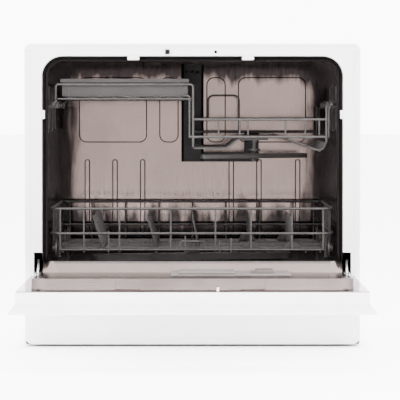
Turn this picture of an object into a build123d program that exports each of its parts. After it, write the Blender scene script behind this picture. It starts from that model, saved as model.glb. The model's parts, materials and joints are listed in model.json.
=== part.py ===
from build123d import *
import math
import os

# Countertop dishwasher with its drop-down door open, two sliding racks and two spray arms.
# Millimetres, +Z up, +X to the right seen from the front, the front faces -Y.
# The sub-parts are drawn with the cabinet's front plane at Y = 0 and the door closed.
# place() moves them so that the row's origin is the bottom centre of the open machine.

# --- cabinet ---
BODY_W = 550.0
BODY_H = 497.0
BODY_D = 466.0
FOOT_H = 4.0
FOOT_R = 16.0
PANEL_T = 1.2
COVER_T = 5.0
COVER_CORNER_R = 12.0
WRAP_STRIP = 10.0
BASE_H = 34.0
BASE_WALL = 2.5
BASE_FLOOR = 3.0
KICK_T = 3.0
KICK_CORNER_R = 13.0
REAR_T = 2.0
SEAM = 0.3

# --- front frame and tub opening ---
OPEN_HALF_W = 247.0
OPEN_TOP = 477.0
OPEN_R = 34.0
FRAME_T = 3.0
FRAME_WALL = 2.5
FRAME_DEPTH = 30.0
FRAME_FOOT_Z = 92.0
SLOT_W = 13.5
SLOT_TOP = 155.0
SLOT_FOOT = 96.5
SEAL_W = 9.4
SEAL_TOP_W = 7.7
SEAL_DEPTH = 11.0

# --- tub ---
SHEET = 1.0
TUB_HALF_W = 246.0
TUB_TOP = 476.0
TUB_R = 33.0
TUB_BACK = 431.0
LEDGE_Z = 139.5
LEDGE_W = 40.0
FLOOR_Z = 122.0
SILL_LIP = 20.0
SILL_FOOT_Y = FRAME_T + SEAM
SILL_FOOT_Z = 117.0
SUMP_R = 62.0
SUMP_DEPTH = 62.0
SUMP_Y = 222.0
FILTER_X = 37.0
FILTER_R = 16.0
HEATER_Y = 122.0
PRESS_RISE = 2.5
PRESS_CORNER = 14.0
PANEL_Z = (330.0, 448.0)
RIB_Z = (160.0, 300.0)
RIB_W = 10.0

# --- door ---
PIVOT_Y = -5.0
PIVOT_Z = 114.0
DOOR_GAP = 2.0
DOOR_T = 34.0
DOOR_BOTTOM = 110.5
DOOR_TOP = 490.0
DOOR_HALF_W = 265.0
DOOR_LIP = 10.0
DOOR_LIP_RISE = 7.0
DOOR_WALL = 2.5
LIP_START = 18.0
LIP_END = 31.0
FACE_ROUND = 1.8
CONSOLE_H = 60.0
LINER_HALF_W = 244.0
LINER_R = 31.0
LINER_BOTTOM = 140.5
LINER_TOP = 474.0
LINER_LOW = 5.0
LINER_HIGH = 16.5
POCKET_W = 37.0
POCKET_H = 11.0
POCKET_DEPTH = 6.0
POCKET_X = (-97.0, 91.0)
TAB_W = 19.0
TAB_DROP = 6.5
SIDE_TAB_Z = 381.0
SIDE_TAB_H = 14.0

# --- latch, console and dispenser on the door ---
LATCH_X = -41.0
LATCH_Z = 483.5
SWITCH_X = 38.0
BOLT_W = 7.0
BOLT_OUT = 6.5
KEY_X = (-200.0, -150.0, 60.0, 110.0)
KEY_W = 24.0
KEY_H = 12.0
KEY_Z = 462.0
KEY_TRAVEL = 1.5
SCREEN_X = -45.0
SCREEN_W = 90.0
SCREEN_H = 22.0
DISP_X0 = -30.0
DISP_X1 = 150.0
DISP_Z0 = 232.0
DISP_Z1 = 346.0
CUP_X0 = -18.0
CUP_X1 = 62.0
CUP_Z0 = 246.0
CUP_Z1 = 322.0
CUP_DEPTH = 24.0
LID_T = 3.0
RINSE_X = 112.0
RINSE_R = 18.0

# --- hinges ---
HINGE_X = 253.5
ARM_T = 3.0
PIN_R = 3.5
PIN_FIT = 0.06
BOSS_R = 8.5
BRACKET_T = 2.0
BRACKET_GAP = 6.0
LEVER_LEN = 34.0
LEG_Y0 = 44.0
LEG_Y1 = 60.0
SPRING_WIRE = 1.8
SPRING_R = 5.0
SPRING_TURNS = 12

# --- racks ---
WIRE = 4.4
THIN = 3.0
GAP = 0.15
LOW_X0 = -234.5
LOW_X1 = 232.0
LOW_Y0 = 44.0
LOW_Y1 = 392.0
LOW_RIM_Z = 225.0
LOW_MID_Z = 184.0
LOW_FLOOR_Z = 156.0
LOW_FLOOR_COUNT = 9
WHEEL_R = 18.0
WHEEL_W = 4.0
HUB_R = 10.0
HUB_W = 4.0
WHEEL_X = 226.0
WHEEL_Y = (64.0, 360.0)
WHEEL_GAP = 0.5
AXLE_R = 3.0
TINE_H = 52.0
TINE_WIRE = 2.7
TINE_PITCH = 26.0
FRONT_STUBS = ((-139.0, 188.0), (-12.0, 180.0), (45.0, 172.0), (64.0, 176.0))
FRONT_LOOP_X = (-20.0, 21.0)
FRONT_LOOP_H = 14.0
DOME_R = 15.0
DOME_TOP = 170.0
CLIP_LEN = 10.0
FOLD_X = (97.0, 165.0)
UP_X0 = -226.0
UP_X1 = 222.0
UP_Y0 = 46.0
UP_Y1 = 376.0
UP_RIM_Z = 373.0
UP_MID_Z = 344.0
UP_FLOOR_Z = 325.0
UP_RIDGE_Z = 343.0
SHELF_Z = 431.0
SPLIT_X = 1.0
RUNNER_Z = 398.0
RUNNER_X = 230.0
BRACKET_Y = (62.0, 240.0)
BRACKET_W = 22.0
TRAY_X0 = -216.0
TRAY_X1 = -8.0
TRAY_Z0 = 411.0
TRAY_Z1 = 440.0
TRAY_WALL = 2.0
TRAY_Y1 = 330.0

# --- spray system ---
LOW_ARM_LEN = 176.0
LOW_ARM_Z = 131.0
LOW_ARM_T = 11.0
LOW_ARM_W = 44.0
UP_ARM_LEN = 104.0
UP_ARM_Z = 306.0
UP_ARM_T = 8.0
UP_ARM_W = 30.0
UP_HUB_X = 106.0
UP_HUB_Y = 200.0
NOZZLE_R = 1.6
DUCT_HALF_W = 20.0
DUCT_T = 22.0
DUCT_TOP = 471.0
DUCT_BOTTOM = 296.0
BRANCH_H = 17.0
DOCK_R = 9.0

# --- services at the back ---
INLET_R = 13.2
INLET_LEN = 14.0
DRAIN_R = 9.5
DRAIN_LEN = 22.0
GLAND_R = 8.0
GLAND_BORE = 4.2
GLAND_LEN = 12.0
SERVICE_Z = 62.0

# --- places worked out from the sizes above ---
HALF_W = BODY_W / 2
FRONT_REACH = DOOR_TOP + DOOR_LIP_RISE - PIVOT_Z - PIVOT_Y
BACK_REACH = BODY_D + DRAIN_LEN
Y_SHIFT = (FRONT_REACH - BACK_REACH) / 2
DOOR_FACE = -DOOR_GAP - DOOR_T
LINER_SLOPE = (LINER_HIGH - LINER_LOW) / (LINER_TOP - LINER_BOTTOM)
COVER_SIDE_Z = BODY_H - COVER_CORNER_R
WHEEL_Z = LEDGE_Z + WHEEL_GAP + WHEEL_R
CONSOLE_Z = DOOR_TOP - CONSOLE_H
TUB_FRONT = FRAME_DEPTH + SHEET


def block(x0, x1, y0, y1, z0, z1):
    """Box between two corners."""
    return Pos((x0 + x1) / 2, (y0 + y1) / 2, (z0 + z1) / 2) * Box(x1 - x0, y1 - y0, z1 - z0)


def rod(start, end, diameter):
    """Straight round bar."""
    a = Vector(*start)
    b = Vector(*end)
    plane = Plane(origin=a, z_dir=(b - a).normalized())
    return Solid.make_cylinder(diameter / 2, (b - a).length, plane)


def bent_wire(points, diameter, radius):
    """Round wire along straight runs joined by equal bends."""
    path = FilletPolyline(*points, radius=radius)
    section = Plane(origin=path @ 0, z_dir=path % 0) * Circle(diameter / 2)
    return sweep(section, path=path).solid()


def disc(x, y, z0, z1, radius):
    """Upright cylinder between two heights."""
    return Pos(x, y, (z0 + z1) / 2) * Cylinder(radius, z1 - z0)


def along_x(x0, x1, y, z, radius):
    """Cylinder lying along X."""
    return rod((x0, y, z), (x1, y, z), 2 * radius)


def along_y(x, y0, y1, z, radius):
    """Cylinder lying along Y."""
    return rod((x, y0, z), (x, y1, z), 2 * radius)


def arch(half_w, top, bottom, radius, y0, y1):
    """Solid arch outline, rounded at its two upper corners, between two depths."""
    height = top - bottom
    body = block(-half_w, half_w, y0, y1, bottom, top)
    upper = body.edges().filter_by(Axis.Y).group_by(Axis.Z)[-1]
    return fillet(upper, min(radius, half_w * 0.9, height * 0.9))


def yz_prism(points, x0, x1):
    """Prism of a Y-Z outline between two X planes."""
    face = make_face(Plane.YZ * Polyline(*points, close=True))
    return Pos(x0, 0, 0) * extrude(face, x1 - x0, dir=(1, 0, 0))


def joined(shapes):
    """One fused body."""
    return shapes[0].fuse(*shapes[1:])


def opened(shape):
    """Turns a piece of the closed door down about the hinge pins."""
    return shape.rotate(Axis((0, PIVOT_Y, PIVOT_Z), (1, 0, 0)), 90)


def mirrored(shape):
    """The same piece on the other side of the machine."""
    return mirror(shape, Plane.YZ)


def place(name, *shapes):
    """Writes one node, moved to the row's origin."""
    solids = [s for shape in shapes for s in shape.solids()]
    moved = [Pos(0, Y_SHIFT, 0) * s for s in solids]
    export_step(moved[0] if len(moved) == 1 else Compound(moved), f"parts/{name}.step")


# --- cabinet pieces ---

def base_tray():
    """Plastic pan under the machine that carries feet, frame and pumps."""
    edge = HALF_W - PANEL_T - SEAM
    y0 = KICK_T + SEAM
    y1 = BODY_D - REAR_T - SEAM
    top = FOOT_H + BASE_H
    pan = block(-edge, edge, y0, y1, FOOT_H, top)
    pan -= block(-edge + BASE_WALL, edge - BASE_WALL, y0 + BASE_WALL, y1 - BASE_WALL,
                 FOOT_H + BASE_FLOOR, top + 1)
    for x in (-150.0, 0.0, 150.0):
        pan += block(x - 1.5, x + 1.5, y0 + 1, y1 - 1, FOOT_H + 1, FOOT_H + BASE_FLOOR + 6)
    for x, y in foot_places():
        pan -= disc(x, y, FOOT_H - 1, FOOT_H + BASE_FLOOR + 1, FOOT_R * 0.4)
    return pan


def foot_places():
    """Centres of the four feet."""
    inset = 38.0
    return [(sx * (HALF_W - inset), y) for sx in (-1, 1) for y in (inset, BODY_D - inset)]


def feet():
    """Four rubber feet, each plugged into the base."""
    made = []
    for x, y in foot_places():
        pad = disc(x, y, 0, FOOT_H - 0.1, FOOT_R)
        pad = chamfer(pad.edges().group_by(Axis.Z)[0], 1.0)
        plug = disc(x, y, FOOT_H - 0.2, FOOT_H + BASE_FLOOR - 0.3, FOOT_R * 0.4 - 0.2)
        made.append(pad + plug)
    return made


def kick_plate():
    """Lower front panel under the door."""
    top = FRAME_FOOT_Z - SEAM
    plate = block(-HALF_W, HALF_W, 0, KICK_T, FOOT_H, top)
    lower = plate.edges().filter_by(Axis.Y).group_by(Axis.Z)[0]
    plate = fillet(lower, KICK_CORNER_R)
    inner = HALF_W - PANEL_T - SEAM
    plate += block(-inner, inner, KICK_T - 0.5, 11.0, top - 3.0, top)
    plate -= block(-inner - 1, inner + 1, 11.0, 12.0, top - 4, top + 1)
    for side in (-1, 1):
        x = side * HINGE_X
        plate -= block(x - SLOT_W / 2, x + SLOT_W / 2, KICK_T, 40.0, top - 16.0, top + 1)
    return plate


def side_panel():
    """Right painted side sheet with folded front, top and rear edges."""
    x1 = HALF_W
    x0 = x1 - PANEL_T
    z0 = FRAME_FOOT_Z
    top = COVER_SIDE_Z - SEAM
    y1 = BODY_D - REAR_T - SEAM
    y0 = KICK_T + SEAM
    low = FOOT_H + 1.0
    sheet = block(x0, x1, y0, y1, low, top)
    sheet += block(x0, x1, 0, y0 + 1, z0, top)
    sheet += block(x1 - WRAP_STRIP, x1, 0, PANEL_T, z0, top)
    sheet += block(x1 - WRAP_STRIP, x1, y1 - PANEL_T, y1, FOOT_H + BASE_H + 2, top)
    corner = sheet.edges().filter_by(Axis.Z).group_by(Axis.Y)[0].sort_by(Axis.X)[-1]
    return fillet(corner, 1.0)


def top_cover():
    """Worktop lid with rounded side edges."""
    deep = COVER_SIDE_Z - COVER_CORNER_R
    lid = arch(HALF_W, BODY_H, deep, COVER_CORNER_R, 0, BODY_D)
    lid -= arch(HALF_W - COVER_T, BODY_H - COVER_T, deep - 1, COVER_CORNER_R - COVER_T, -1, BODY_D - REAR_T)
    return lid - block(-BODY_W, BODY_W, -1, BODY_D + 1, 0, COVER_SIDE_Z)


def rear_panel():
    """Back sheet with the service holes and a vent."""
    edge = HALF_W - SEAM
    y0 = BODY_D - REAR_T
    sheet = block(-edge, edge, y0, BODY_D, FOOT_H + 4, COVER_SIDE_Z - SEAM)
    sheet -= along_y(service_x("inlet"), y0 - 1, BODY_D + 1, SERVICE_Z, INLET_R + 1.0)
    sheet -= along_y(service_x("drain"), y0 - 1, BODY_D + 1, SERVICE_Z, DRAIN_R + 1.0)
    sheet -= along_y(service_x("cord"), y0 - 1, BODY_D + 1, SERVICE_Z, GLAND_R + 0.2)
    for row in range(6):
        z = 380.0 + row * 10.0
        sheet -= block(90.0, 170.0, y0 - 1, BODY_D + 1, z, z + 4.0)
    for x, z in screw_places():
        sheet -= along_y(x, y0 - 1, BODY_D + 1, z, 2.2)
    return sheet


def service_x(name):
    """X of the water inlet, the drain spigot and the cord gland."""
    return {"inlet": 190.0, "drain": 120.0, "cord": -190.0}[name]


def screw_places():
    """Rear panel screws."""
    return [(sx * (HALF_W - 6.0), z) for sx in (-1, 1) for z in (60.0, 190.0, 320.0, 450.0)]


def rear_screws():
    """Pan-head screws that hold the rear panel."""
    made = []
    for x, z in screw_places():
        head = along_y(x, BODY_D + 0.05, BODY_D + 2.4, z, 4.0)
        shank = along_y(x, BODY_D - REAR_T - 0.1, BODY_D + 0.5, z, 2.0)
        made.append(head + shank - block(x - 3, x + 3, BODY_D + 1.4, BODY_D + 3, z - 0.5, z + 0.5)
                    - block(x - 0.5, x + 0.5, BODY_D + 1.4, BODY_D + 3, z - 3, z + 3))
    return made


def front_frame():
    """White moulding round the tub opening with hinge slots and a sill rail."""
    edge = HALF_W - WRAP_STRIP - SEAM
    top = BODY_H - COVER_T - SEAM
    plate = block(-edge, edge, 0, FRAME_T, FRAME_FOOT_Z, top)
    lid_x = HALF_W - COVER_T - SEAM
    plate += arch(lid_x, top, COVER_SIDE_Z, COVER_CORNER_R - COVER_T, 0, FRAME_T)
    plate = plate.fuse(arch(OPEN_HALF_W + FRAME_WALL, OPEN_TOP + FRAME_WALL, FRAME_FOOT_Z,
                            OPEN_R + FRAME_WALL, 0, FRAME_DEPTH))
    plate -= arch(OPEN_HALF_W, OPEN_TOP, FRAME_FOOT_Z - 1, OPEN_R, -1, FRAME_DEPTH + 1)
    rail = block(-OPEN_HALF_W - 1, OPEN_HALF_W + 1, 0, SILL_LIP + 4, FRAME_FOOT_Z, FRAME_FOOT_Z + 3)
    rail += block(-OPEN_HALF_W - 1, OPEN_HALF_W + 1, 0, FRAME_T, FRAME_FOOT_Z, SILL_FOOT_Z - SHEET - 0.4)
    plate += rail
    for side in (-1, 1):
        x = side * HINGE_X
        plate -= block(x - SLOT_W / 2, x + SLOT_W / 2, -1, FRAME_DEPTH + 10, SLOT_FOOT, SLOT_TOP)
    half = BOLT_W / 2 + 0.5
    plate -= block(LATCH_X - half, LATCH_X + half, -1, FRAME_T + 1, LATCH_Z - half, LATCH_Z + half)
    plate -= along_y(SWITCH_X, -1, FRAME_T + 1, LATCH_Z, 2.6)
    return plate


def gasket_tabs():
    """White clips that stand into the opening and hold the tub seal."""
    made = []
    for x in POCKET_X:
        made.append(block(x - TAB_W / 2, x + TAB_W / 2, 3.0, 12.0, OPEN_TOP - TAB_DROP, OPEN_TOP - 0.1))
    for side in (-1, 1):
        x0 = side * (OPEN_HALF_W - 0.1)
        x1 = side * (OPEN_HALF_W - 4.7)
        made.append(block(min(x0, x1), max(x0, x1), 2.0, 10.0, SIDE_TAB_Z - SIDE_TAB_H / 2,
                          SIDE_TAB_Z + SIDE_TAB_H / 2))
    return [fillet(tab.edges().filter_by(Axis.Y), 1.2) for tab in made]


def liner_face(z):
    """Y of the raised liner face, door closed, at a height."""
    return LINER_LOW + (z - LINER_BOTTOM) * LINER_SLOPE


def tub_gasket():
    """Rubber seal up both sides and over the top of the opening."""
    outer = arch(OPEN_HALF_W - SEAM, OPEN_TOP - SEAM, LEDGE_Z + 1, OPEN_R - SEAM, 0, 60)
    inner = arch(OPEN_HALF_W - SEAM - SEAL_W, OPEN_TOP - SEAM - SEAL_TOP_W, LEDGE_Z,
                 OPEN_R - SEAL_W, -1, 61)
    ring = outer - inner
    lead = 0.4
    z0 = LEDGE_Z - 5
    z1 = OPEN_TOP + 5
    front = [(liner_face(z0) + lead, z0), (liner_face(z1) + lead, z1)]
    back = [(y + SEAL_DEPTH, z) for y, z in reversed(front)]
    return ring & yz_prism(front + back, -BODY_W, BODY_W)


def tub_wrap():
    """Stainless side walls and ceiling of the tub, bent from one sheet."""
    outer = arch(TUB_HALF_W + SHEET, TUB_TOP + SHEET, LEDGE_Z + SEAM, TUB_R + SHEET, TUB_FRONT, TUB_BACK)
    inner = arch(TUB_HALF_W, TUB_TOP, LEDGE_Z, TUB_R, TUB_FRONT - 1, TUB_BACK + 1)
    wrap = outer - inner
    lip = arch(TUB_HALF_W + 9, TUB_TOP + 9, LEDGE_Z + SEAM, TUB_R + 9, FRAME_DEPTH + SEAM, TUB_FRONT + SEAM)
    lip -= arch(TUB_HALF_W, TUB_TOP, LEDGE_Z, TUB_R, 0, TUB_FRONT + 2)
    lip -= block(HINGE_X - SLOT_W / 2, HALF_W, 0, TUB_FRONT + 5, LEDGE_Z, SLOT_TOP)
    lip -= block(-HALF_W, -HINGE_X + SLOT_W / 2, 0, TUB_FRONT + 5, LEDGE_Z, SLOT_TOP)
    return wrap + lip


def tub_back():
    """Pressed rear wall of the tub with raised panels and ribs."""
    wall = arch(TUB_HALF_W + SHEET, TUB_TOP + SHEET, FLOOR_Z - SHEET, TUB_R + SHEET,
                TUB_BACK + SEAM, TUB_BACK + SEAM + SHEET)
    face = TUB_BACK + SEAM
    for x0, x1 in ((-205.0, -82.0), (-60.0, -25.0), (25.0, 60.0), (82.0, 205.0)):
        wall += press(x0, x1, *PANEL_Z, PRESS_CORNER, face)
    for x in (-190.0, -140.0, -90.0, 70.0, 120.0, 190.0):
        wall += press(x - RIB_W / 2, x + RIB_W / 2, *RIB_Z, RIB_W * 0.45, face)
    return wall


def press(x0, x1, z0, z1, corner, face):
    """Raised field with round corners, pressed into the tub from the rear wall."""
    raised = block(x0, x1, face - PRESS_RISE, face + 0.5, z0, z1)
    raised = fillet(raised.edges().filter_by(Axis.Y), corner)
    return chamfer(raised.faces().sort_by(Axis.Y)[0].edges(), 2.0)


def tub_floor():
    """Stainless floor pan with wheel ledges, front sill and sump hole."""
    inner = TUB_HALF_W - LEDGE_W
    y0 = SILL_LIP + 4
    x_out = TUB_HALF_W
    pan = block(-x_out, x_out, SILL_LIP, TUB_BACK, FLOOR_Z - SHEET, LEDGE_Z)
    pan -= block(-inner, inner, y0 + SHEET, TUB_BACK + 1, FLOOR_Z, LEDGE_Z + 1)
    hollow_x = inner + SHEET
    for side in (-1, 1):
        a = side * hollow_x
        b = side * (x_out + 1)
        pan -= block(min(a, b), max(a, b), -30.0, TUB_BACK + 1, FLOOR_Z - 10, LEDGE_Z - SHEET)
    pan -= block(-hollow_x - 1, hollow_x + 1, -30.0, y0, FLOOR_Z - 10, LEDGE_Z - SHEET)
    pan += sill()
    pan -= disc(0, SUMP_Y, FLOOR_Z - 10, FLOOR_Z + 5, SUMP_R)
    return pan


def sill():
    """Sloped front lip of the floor pan with its two corner plinths."""
    slope = (LEDGE_Z - SILL_FOOT_Z) / (SILL_LIP - SILL_FOOT_Y)
    drop = SHEET * math.sqrt(1 + slope * slope)
    outline = [(SILL_LIP + 1, LEDGE_Z), (SILL_LIP, LEDGE_Z), (SILL_FOOT_Y, SILL_FOOT_Z),
               (SILL_FOOT_Y, SILL_FOOT_Z - drop), (SILL_LIP, LEDGE_Z - drop), (SILL_LIP + 1, LEDGE_Z - drop)]
    made = yz_prism(outline, -TUB_HALF_W, TUB_HALF_W)
    for side in (-1, 1):
        made += corner_plinth(side)
    return made


def corner_plinth(side):
    """Four-sided pressed foot where the sill meets the wheel ledge."""
    foot = Plane((side * 229.0, 9.5, SILL_FOOT_Z)) * Rectangle(34.0, 17.0)
    tip = Plane((side * 231.0, 18.0, LEDGE_Z)) * Rectangle(4.0, 4.0)
    return loft([foot, tip], ruled=True)


def sump():
    """Plastic pot under the floor that collects the water."""
    top = FLOOR_Z - SHEET - 0.2
    pot = disc(0, SUMP_Y, top - SUMP_DEPTH, top, SUMP_R + 12)
    pot -= disc(0, SUMP_Y, top - SUMP_DEPTH + 3, top + 1, SUMP_R - 6)
    pot += disc(0, SUMP_Y, top - SUMP_DEPTH + 1, top - 24, 14.0)
    pot -= disc(0, SUMP_Y, top - SUMP_DEPTH + 6, top, 9.0)
    pot += along_y(-34.0, SUMP_Y + SUMP_R, SUMP_Y + SUMP_R + 30, top - 42, 14.0)
    pot -= along_y(-34.0, SUMP_Y + SUMP_R - 12, SUMP_Y + SUMP_R + 31, top - 42, 11.0)
    return pot


def filter_plate():
    """Flat round strainer over the sump, with a hole for the filter cup."""
    plate = disc(0, SUMP_Y, FLOOR_Z - 0.8, FLOOR_Z + 1.0, SUMP_R - 0.4)
    plate -= disc(0, SUMP_Y, FLOOR_Z - 2, FLOOR_Z + 2, 17.0)
    plate -= disc(FILTER_X, SUMP_Y, FLOOR_Z - 2, FLOOR_Z + 2, FILTER_R + 0.3)
    return plate


def filter_cup():
    """Fine filter cup with its grip, dropped through the strainer."""
    cup = disc(FILTER_X, SUMP_Y, FLOOR_Z - 40, FLOOR_Z + 1.2, FILTER_R)
    cup -= disc(FILTER_X, SUMP_Y, FLOOR_Z - 38, FLOOR_Z + 2, FILTER_R - 1.6)
    cup += block(FILTER_X - FILTER_R + 1, FILTER_X + FILTER_R - 1, SUMP_Y - 1.5, SUMP_Y + 1.5,
                 FLOOR_Z - 6, FLOOR_Z + 5)
    return cup


def lower_bearing():
    """Spigot that carries the lower spray arm and feeds it."""
    stem = disc(0, SUMP_Y, FLOOR_Z - 26, LOW_ARM_Z + LOW_ARM_T + 4, 8.0)
    stem += disc(0, SUMP_Y, FLOOR_Z - 4, LOW_ARM_Z - 1.0, 14.5)
    stem -= disc(0, SUMP_Y, FLOOR_Z - 27, LOW_ARM_Z + LOW_ARM_T - 2, 5.0)
    return stem


def arm_nut():
    """Cap nut over the lower spray arm."""
    z = LOW_ARM_Z + LOW_ARM_T + 0.4
    nut = disc(0, SUMP_Y, z, z + 5.5, 13.0)
    nut -= disc(0, SUMP_Y, z - 1, LOW_ARM_Z + LOW_ARM_T + 4.1, 8.1)
    return fillet(nut.edges().group_by(Axis.Z)[-1], 2.0)


def spray_arm(length, width, thick):
    """Tapered hollow spray arm about the origin with nozzles in its top."""
    half = length
    root = width / 2
    tip = width * 0.3
    outline = Polyline((-half + tip, -tip), (0, -root), (half - tip, -tip), (half - tip, tip), (0, root),
                       (-half + tip, tip), close=True)
    body = extrude(make_face(outline), thick)
    for x in (-half + tip, half - tip):
        body += Pos(x, 0, thick / 2) * Cylinder(tip, thick)
    body = chamfer(body.faces().sort_by(Axis.Z)[-1].edges(), 1.5)
    count = 5
    for side in (-1, 1):
        for i in range(count):
            x = side * (half * 0.28 + i * half * 0.155)
            y = side * (i % 2 - 0.5) * width * 0.2
            body -= Pos(x, y, thick) * Cylinder(NOZZLE_R, 4.0)
    return body


def lower_spray_arm():
    """Long spray arm over the tub floor."""
    arm = Pos(0, SUMP_Y, LOW_ARM_Z) * spray_arm(LOW_ARM_LEN, LOW_ARM_W, LOW_ARM_T)
    arm -= disc(0, SUMP_Y, LOW_ARM_Z - 1, LOW_ARM_Z + LOW_ARM_T + 1, 8.0 + PIN_FIT)
    return arm.rotate(Axis((0, SUMP_Y, 0), (0, 0, 1)), 12.0)


def circulation_pump():
    """Wash pump: volute joined to the sump outlet and its motor."""
    y = 345.0
    z = FLOOR_Z - SHEET - 42.2
    volute = along_y(-34.0, SUMP_Y + SUMP_R + 30.2, SUMP_Y + SUMP_R + 62, z, 36.0)
    motor = along_y(-34.0, SUMP_Y + SUMP_R + 61, y + 92, z, 29.0)
    foot = block(-54.0, -14.0, y + 10, y + 70, FOOT_H + BASE_FLOOR + 0.1, z)
    outlet = along_x(-34.0, 20.0, SUMP_Y + SUMP_R + 46, z + 22, 9.0)
    return volute + motor + foot + outlet


def drain_pump():
    """Small drain pump beside the sump."""
    x = SUMP_R + 12.3
    z = 70.0
    body = along_x(x, x + 36, SUMP_Y, z, 24.0) + along_x(x + 35, x + 78, SUMP_Y, z, 18.0)
    body += block(x + 20, x + 60, SUMP_Y - 14, SUMP_Y + 14, FOOT_H + BASE_FLOOR + 0.1, z)
    return body


def water_heater():
    """Flow heater between wash pump and spray arms."""
    x0 = -150.0
    body = along_x(x0, x0 + 110, HEATER_Y, 72.0, 22.0) + along_x(x0 - 8, x0 + 1, HEATER_Y, 72.0, 26.0)
    body += along_x(x0 + 109, x0 + 126, HEATER_Y, 72.0, 10.0)
    return body + block(x0 + 30, x0 + 80, HEATER_Y - 12, HEATER_Y + 12, FOOT_H + BASE_FLOOR + 0.1, 72.0)


def inlet_valve():
    """Water valve with its threaded spigot through the rear panel."""
    x = service_x("inlet")
    y1 = BODY_D + INLET_LEN
    valve = along_y(x, BODY_D, y1, SERVICE_Z, INLET_R)
    valve += along_y(x, BODY_D - REAR_T - 6, BODY_D, SERVICE_Z, INLET_R + 0.6)
    valve -= along_y(x, BODY_D - 4, y1 + 1, SERVICE_Z, INLET_R - 3.2)
    valve += block(x - 20, x + 20, BODY_D - 44, BODY_D - REAR_T - 0.3, SERVICE_Z - 20, SERVICE_Z + 20)
    return valve + block(x - 12, x + 12, BODY_D - 42, BODY_D - 20, FOOT_H + BASE_FLOOR + 0.1, SERVICE_Z)


def drain_outlet():
    """Barbed drain spigot through the rear panel."""
    x = service_x("drain")
    y1 = BODY_D + DRAIN_LEN
    spigot = along_y(x, BODY_D, y1, SERVICE_Z, DRAIN_R)
    spigot += along_y(x, BODY_D - 20, BODY_D, SERVICE_Z, DRAIN_R + 0.6)
    spigot += block(x - 15, x + 15, BODY_D - REAR_T - 6, BODY_D - REAR_T - 0.3, SERVICE_Z - 15, SERVICE_Z + 15)
    return spigot - along_y(x, BODY_D - 21, y1 + 1, SERVICE_Z, DRAIN_R - 2.0)


def cord_gland():
    """Bushing that lines the mains cord hole."""
    x = service_x("cord")
    y0 = BODY_D - REAR_T - GLAND_LEN / 2
    y1 = y0 + GLAND_LEN
    bush = along_y(x, y0, y1, SERVICE_Z, GLAND_R)
    bush += along_y(x, BODY_D + 0.2, BODY_D + 2.2, SERVICE_Z, GLAND_R + 3)
    return bush - along_y(x, y0 - 1, y1 + 1, SERVICE_Z, GLAND_BORE)


def feed_duct():
    """Dark riser on the rear wall with a branch to the rack's dock."""
    y1 = TUB_BACK - 2.8
    y0 = y1 - DUCT_T
    duct = block(-DUCT_HALF_W, DUCT_HALF_W, y0, y1, DUCT_BOTTOM, DUCT_TOP)
    duct = fillet(duct.edges().filter_by(Axis.Z).group_by(Axis.Y)[0], 6.0)
    x1 = UP_HUB_X + DOCK_R + 4
    duct += block(DUCT_HALF_W - 1, x1, y0 + 3, y1, DUCT_BOTTOM, DUCT_BOTTOM + BRANCH_H)
    duct += block(UP_HUB_X - DOCK_R - 4, x1, y0 + 3, y1, DUCT_BOTTOM, UP_RIDGE_Z + 8)
    duct += along_y(UP_HUB_X, y0 - 2, y0 + 4, UP_RIDGE_Z - 6, DOCK_R + 3)
    duct -= along_y(UP_HUB_X, y0 - 3, y0 + 10, UP_RIDGE_Z - 6, DOCK_R)
    for side in (-1, 0, 1):
        duct += Pos(side * 10.0, y0, DUCT_TOP - 14) * Sphere(3.0)
    return duct


def rack_brackets():
    """Four plastic wall brackets whose hooks carry the upper rack's side wires."""
    made = []
    for side in (-1, 1):
        for y in BRACKET_Y:
            made.append(rack_bracket(side, y))
    return made


def rack_bracket(side, y):
    """One bracket with two hook notches, standing off the tub wall."""
    wall = TUB_HALF_W - 0.2
    back = block(wall - 3, wall, y, y + BRACKET_W, 352.0, 432.0)
    low = RUNNER_Z - WIRE / 2 - 0.3
    shelf = block(RUNNER_X - 4, wall, y, y + BRACKET_W, low - 4, low)
    lip = block(RUNNER_X - 7, RUNNER_X - 4, y, y + BRACKET_W, low - 4, low + 6)
    over = block(RUNNER_X - 2, wall, y, y + BRACKET_W, RUNNER_Z + WIRE / 2 + 0.4, RUNNER_Z + WIRE / 2 + 3.4)
    web = block(wall - 8, wall, y + 9, y + 13, 356.0, 428.0)
    bracket = back + shelf + lip + over + web
    return bracket if side > 0 else mirrored(bracket)


def latch_housing():
    """Black latch case behind the frame."""
    y0 = FRAME_T + SEAM
    case = block(LATCH_X - 9, LATCH_X + 9, y0, y0 + 18, LATCH_Z - 3.9, LATCH_Z + 5.6)
    hole = BOLT_W / 2 + 0.3
    return case - block(LATCH_X - hole, LATCH_X + hole, y0 - 1, y0 + 16, LATCH_Z - hole, LATCH_Z + hole)


def latch_bolt():
    """Sprung square latch bolt."""
    half = BOLT_W / 2
    bolt = block(LATCH_X - half, LATCH_X + half, -BOLT_OUT, FRAME_T + 8, LATCH_Z - half, LATCH_Z + half)
    return fillet(bolt.faces().sort_by(Axis.Y)[0].edges(), 2.0)


def door_switch():
    """Micro switch behind the small hole in the frame."""
    y0 = FRAME_T + SEAM
    body = block(SWITCH_X - 10, SWITCH_X + 10, y0 + 6, y0 + 16, LATCH_Z - 3.9, LATCH_Z + 5)
    return body + block(SWITCH_X - 4, SWITCH_X + 4, y0, y0 + 6.5, LATCH_Z + 3, LATCH_Z + 5)


# --- hinges ---

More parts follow.
